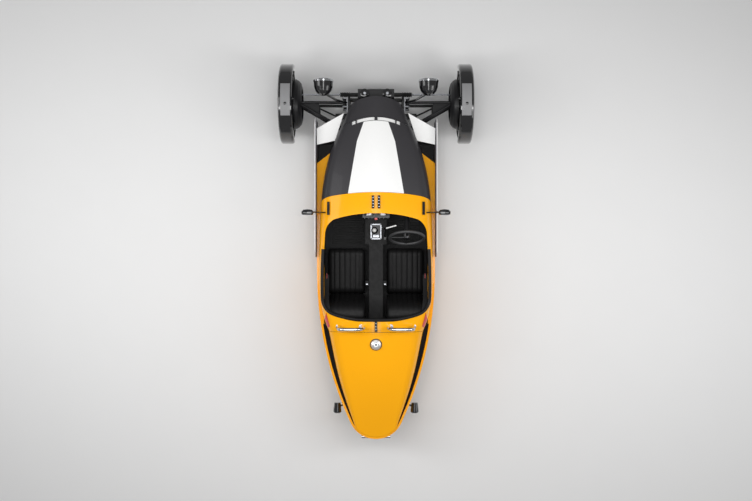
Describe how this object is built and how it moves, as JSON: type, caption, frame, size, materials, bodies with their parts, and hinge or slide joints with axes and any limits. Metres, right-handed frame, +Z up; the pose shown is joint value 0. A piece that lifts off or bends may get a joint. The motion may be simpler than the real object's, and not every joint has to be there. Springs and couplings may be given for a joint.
{
  "type": "three wheeled car",
  "caption": "Open two seat three wheeled car with a boat tail, cycle mudguards on steered front wheels and one driven rear wheel.",
  "frame": {"origin": "ground level under the middle of the bounding box", "axes": "+X to the car's right, +Y forward, +Z up"},
  "size_m": [1.822, 3.5798, 1.055],
  "materials": {
    "black_gloss": "gloss",
    "black_metal": "satin",
    "black_plastic": "matte",
    "cast_alloy": "satin",
    "chrome": "polished",
    "glass": "gloss",
    "grey_paint": "satin",
    "leather": "satin",
    "mirror": "polished",
    "red_plastic": "gloss",
    "rubber": "matte",
    "steel": "satin",
    "tyre": "matte",
    "white_paint": "satin",
    "yellow_paint": "gloss"
  },
  "bodies": {
    "chassis": {"accessory_rails": "black_plastic", "bonnet": "grey_paint", "bonnet_vent": "white_paint", "cockpit_rim": "leather", "dashboard": "black_plastic", "drive_belt": "rubber", "duct_plates": "white_paint", "duct_trays": "black_metal", "engine_block": "cast_alloy", "floor_pan": "black_plastic", "front_bulkhead": "black_plastic", "front_dampers": "black_metal", "front_frame": "black_metal", "fuel_cap": "chrome", "gear_console": "chrome", "headlamp_bowls": "black_gloss", "headlamp_lenses": "glass", "headlamp_rims": "chrome", "instruments": "cast_alloy", "mirror_glasses": "mirror", "mirror_heads": "black_gloss", "nose_cowl": "grey_paint", "pedals": "steel", "pull_rods": "black_metal", "rack_housing": "rubber", "radiators": "black_metal", "rear_bulkhead": "black_plastic", "rear_cowl": "yellow_paint", "rear_dampers": "black_metal", "rear_indicators": "black_gloss", "roll_hoops": "chrome", "scuttle": "yellow_paint", "seat_backs": "leather", "seat_cushions": "leather", "side_blades": "white_paint", "side_markers": "red_plastic", "steering_column": "black_metal", "suspension_castings": "cast_alloy", "swing_arm": "black_metal", "tail_bar": "chrome", "tail_deck": "yellow_paint", "tail_ledge": "black_plastic", "tub_side_left": "yellow_paint", "tub_side_right": "yellow_paint", "tunnel": "leather", "wishbones": "black_metal"},
    "knuckle_left": {"knuckle_left": "black_metal", "mudguard_left": "black_gloss"},
    "knuckle_right": {"knuckle_right": "black_metal", "mudguard_right": "black_gloss"},
    "wheel_front_left": {"front_wheel_left": "black_metal", "front_tyre_left": "tyre"},
    "wheel_front_right": {"front_wheel_right": "black_metal", "front_tyre_right": "tyre"},
    "wheel_rear": {"rear_wheel": "black_metal", "rear_tyre": "tyre"},
    "rack": {"tie_rods": "steel"},
    "steering_wheel": {"steering_wheel": "leather"}
  },
  "joints": [
    {"name": "steer_left", "type": "hinge", "parent": "chassis", "child": "knuckle_left", "pos_m": [-0.745, 1.407, 0.358], "axis": [0, 0, 1], "range_deg": [-28, 28]},
    {"name": "steer_right", "type": "hinge", "parent": "chassis", "child": "knuckle_right", "pos_m": [0.745, 1.407, 0.358], "axis": [0, 0, 1], "range_deg": [-28, 28]},
    {"name": "rack_slide", "type": "slide", "parent": "chassis", "child": "rack", "axis": [-1, 0, 0], "range_m": [-0.0445, 0.0445]},
    {"name": "steering_wheel_turn", "type": "hinge", "parent": "chassis", "child": "steering_wheel", "pos_m": [0.286, 0.117, 0.735], "axis": [0, -0.9397, 0.342], "range_deg": [-395, 395]},
    {"name": "spin_front_left", "type": "hinge", "parent": "knuckle_left", "child": "wheel_front_left", "pos_m": [-0.845, 1.407, 0.358], "axis": [1, 0, 0], "continuous": true},
    {"name": "spin_front_right", "type": "hinge", "parent": "knuckle_right", "child": "wheel_front_right", "pos_m": [0.845, 1.407, 0.358], "axis": [1, 0, 0], "continuous": true},
    {"name": "spin_rear", "type": "hinge", "parent": "chassis", "child": "wheel_rear", "pos_m": [0, -1.193, 0.317], "axis": [1, 0, 0], "continuous": true}
  ],
  "couplings": [
    {"joint": "steer_right", "follows": "steer_left", "ratio": 1},
    {"joint": "rack_slide", "follows": "steer_left", "m_per_rad": 0.08934},
    {"joint": "steering_wheel_turn", "follows": "steer_left", "ratio": 14}
  ]
}
